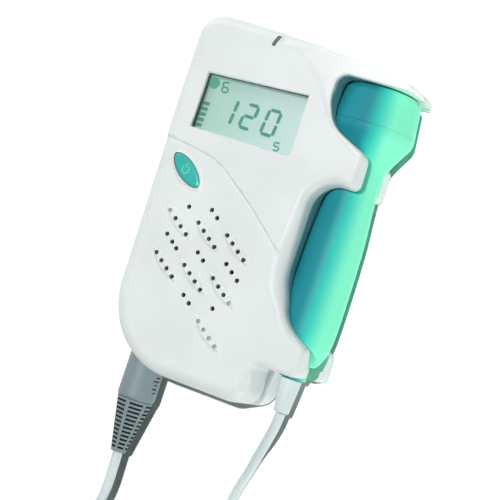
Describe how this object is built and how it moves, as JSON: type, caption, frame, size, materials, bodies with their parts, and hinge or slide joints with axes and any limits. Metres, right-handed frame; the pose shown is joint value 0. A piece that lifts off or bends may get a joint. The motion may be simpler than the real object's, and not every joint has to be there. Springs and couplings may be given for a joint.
{
  "type": "fetal doppler monitor",
  "caption": "Pocket fetal doppler monitor lying on its back: white two-shell body with display, power key and leaf-pattern speaker grille, and a corded probe clipped in its side.",
  "frame": {"origin": "centre of the footprint of body and probe, on the flat back, cable and plug left out", "axes": "+Z out of the face, +Y toward the top of the display, +X toward the probe side"},
  "size_m": [0.0903, 0.2519, 0.035],
  "materials": {
    "shell_white": "satin",
    "back_white": "fine texture",
    "probe_teal": "gloss",
    "key_teal": "satin",
    "cable_grey": "matt",
    "plug_grey": "satin",
    "tie_rubber": "matt",
    "display_window": "polished",
    "display_glass": "satin",
    "dark_plastic": "matt",
    "smoke_plastic": "clear",
    "board_green": "solder mask",
    "component_black": "matt",
    "steel": "plated",
    "speaker_paper": "paper",
    "gasket_foam": "foam",
    "crystal_face": "metallised ceramic",
    "cell_jacket": "printed jacket"
  },
  "bodies": {
    "monitor": {"front_housing": "shell_white", "lcd_backlight": "shell_white", "rear_housing": "back_white", "probe_cable": "cable_grey", "plug_cable": "cable_grey", "cable_coil": "cable_grey", "plug_body": "plug_grey", "plug_strain_relief": "plug_grey", "cable_tie": "tie_rubber", "lcd_window": "display_window", "lcd_panel": "display_glass", "lcd_frame": "dark_plastic", "speaker_magnet": "dark_plastic", "indicator_light_pipe": "smoke_plastic", "main_board": "board_green", "power_switch": "component_black", "mode_switch": "component_black", "record_switch": "component_black", "volume_control": "component_black", "headphone_jack": "component_black", "processor_chip": "component_black", "amplifier_chip": "component_black", "probe_socket": "component_black", "capacitor": "steel", "speaker_frame": "steel", "battery_contact_1": "steel", "battery_contact_2": "steel", "spring_plate_1": "steel", "spring_plate_2": "steel", "battery_spring_1": "steel", "battery_spring_2": "steel", "housing_screw_1": "steel", "housing_screw_2": "steel", "housing_screw_3": "steel", "housing_screw_4": "steel", "board_screw_1": "steel", "board_screw_2": "steel", "board_screw_3": "steel", "speaker_cone": "speaker_paper", "speaker_gasket": "gasket_foam", "battery_1": "cell_jacket", "battery_2": "cell_jacket"},
    "power_button": {"power_button": "key_teal"},
    "mode_button": {"mode_button": "key_teal"},
    "record_button": {"record_button": "key_teal"},
    "volume_wheel": {"volume_wheel": "dark_plastic"},
    "battery_door": {"battery_door": "back_white"},
    "probe": {"probe_cap": "probe_teal", "probe_handle": "probe_teal", "probe_tail_collar": "probe_teal", "probe_strain_relief": "cable_grey", "transmit_crystal": "crystal_face", "receive_crystal": "crystal_face", "crystal_backing": "dark_plastic", "probe_board": "board_green"}
  },
  "joints": [
    {"name": "power_button_press", "type": "slide", "parent": "monitor", "child": "power_button", "axis": [0, 0, -1], "range_m": [0, 0.0006], "stiffness_N_per_m": 1500, "springref_m": -0.0004},
    {"name": "mode_button_press", "type": "slide", "parent": "monitor", "child": "mode_button", "axis": [1, 0, 0], "range_m": [0, 0.0006], "stiffness_N_per_m": 1500, "springref_m": -0.0004},
    {"name": "record_button_press", "type": "slide", "parent": "monitor", "child": "record_button", "axis": [1, 0, 0], "range_m": [0, 0.0006], "stiffness_N_per_m": 1500, "springref_m": -0.0004},
    {"name": "volume_wheel_turn", "type": "hinge", "parent": "monitor", "child": "volume_wheel", "pos_m": [-0.03645, 0.03, 0.0142], "axis": [0, 0, 1], "range_deg": [-130, 130]},
    {"name": "battery_door_slide", "type": "slide", "parent": "monitor", "child": "battery_door", "axis": [0, -1, 0], "range_m": [0, 0.012]},
    {"name": "probe_draw_out", "type": "slide", "parent": "monitor", "child": "probe", "axis": [1, 0, 0], "range_m": [0, 0.045]}
  ]
}
